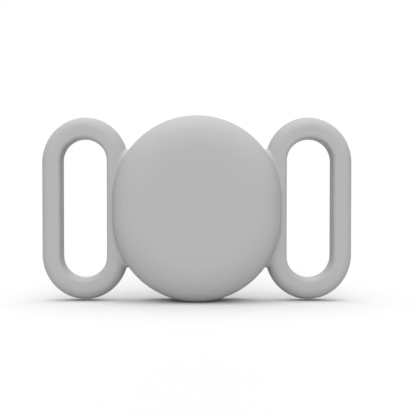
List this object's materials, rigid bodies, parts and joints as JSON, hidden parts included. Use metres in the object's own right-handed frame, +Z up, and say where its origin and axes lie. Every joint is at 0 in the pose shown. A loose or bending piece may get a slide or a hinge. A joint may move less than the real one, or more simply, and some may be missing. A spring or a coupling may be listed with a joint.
{
  "type": "tracker tag holder",
  "caption": "Soft silicone holder with a domed closed front and two strap loops, carrying a round coin-cell tracker tag in a pocket that opens at the back.",
  "frame": {"origin": "middle of the bottom of the bounding box: under the middle of the width and depth, at the lowest point of the body", "axes": "+X along the strap, to the right as seen from the front; the closed front faces -Y; +Z up"},
  "size_m": [0.0702, 0.012, 0.0413],
  "materials": {
    "silicone": "matte soft-touch",
    "white_plastic": "gloss",
    "copper_wire": "enamelled winding",
    "iron": "plated",
    "magnet": "nickel plated",
    "carrier_plastic": "matte",
    "antenna_copper": "plated tracks",
    "board": "solder mask",
    "tinplate": "satin",
    "chip_resin": "matte",
    "ceramic": "matte",
    "tray_plastic": "semi-gloss",
    "contact_metal": "plated spring strip",
    "cell_steel": "drawn",
    "gasket_plastic": "matte",
    "lithium": "dull",
    "separator_film": "matte",
    "cathode_pellet": "pressed powder",
    "seal_rubber": "matte",
    "ring_plastic": "matte",
    "polished_steel": "polished"
  },
  "bodies": {
    "holder": {"sleeve": "silicone", "pocket_lip": "silicone"},
    "tag": {"tag_dome": "white_plastic", "voice_coil": "copper_wire", "pole_plate": "iron", "magnet": "magnet", "magnet_cup": "iron", "antenna_carrier": "carrier_plastic", "antennas": "antenna_copper", "circuit_board": "board", "radio_shield": "tinplate", "radio_chip": "chip_resin", "flash_chip": "chip_resin", "amplifier_chip": "chip_resin", "motion_sensor": "chip_resin", "crystal": "tinplate", "capacitors": "ceramic", "battery_tray": "tray_plastic", "negative_contact": "contact_metal", "positive_contacts": "contact_metal", "cell_can": "cell_steel", "cell_gasket": "gasket_plastic", "cell_cap": "cell_steel", "cell_anode": "lithium", "cell_separator": "separator_film", "cell_cathode": "cathode_pellet", "cover_seal": "seal_rubber"},
    "cover": {"cover_ring": "ring_plastic", "battery_cover": "polished_steel"}
  },
  "joints": [
    {"name": "tag_slide", "type": "slide", "parent": "holder", "child": "tag", "axis": [0, 1, 0], "range_m": [0, 0.0125], "deforming": ["pocket_lip"]},
    {"name": "cover_twist", "type": "hinge", "parent": "tag", "child": "cover", "pos_m": [0, 0.0022, 0.02065], "axis": [0, 1, 0], "range_deg": [0, 24]}
  ]
}
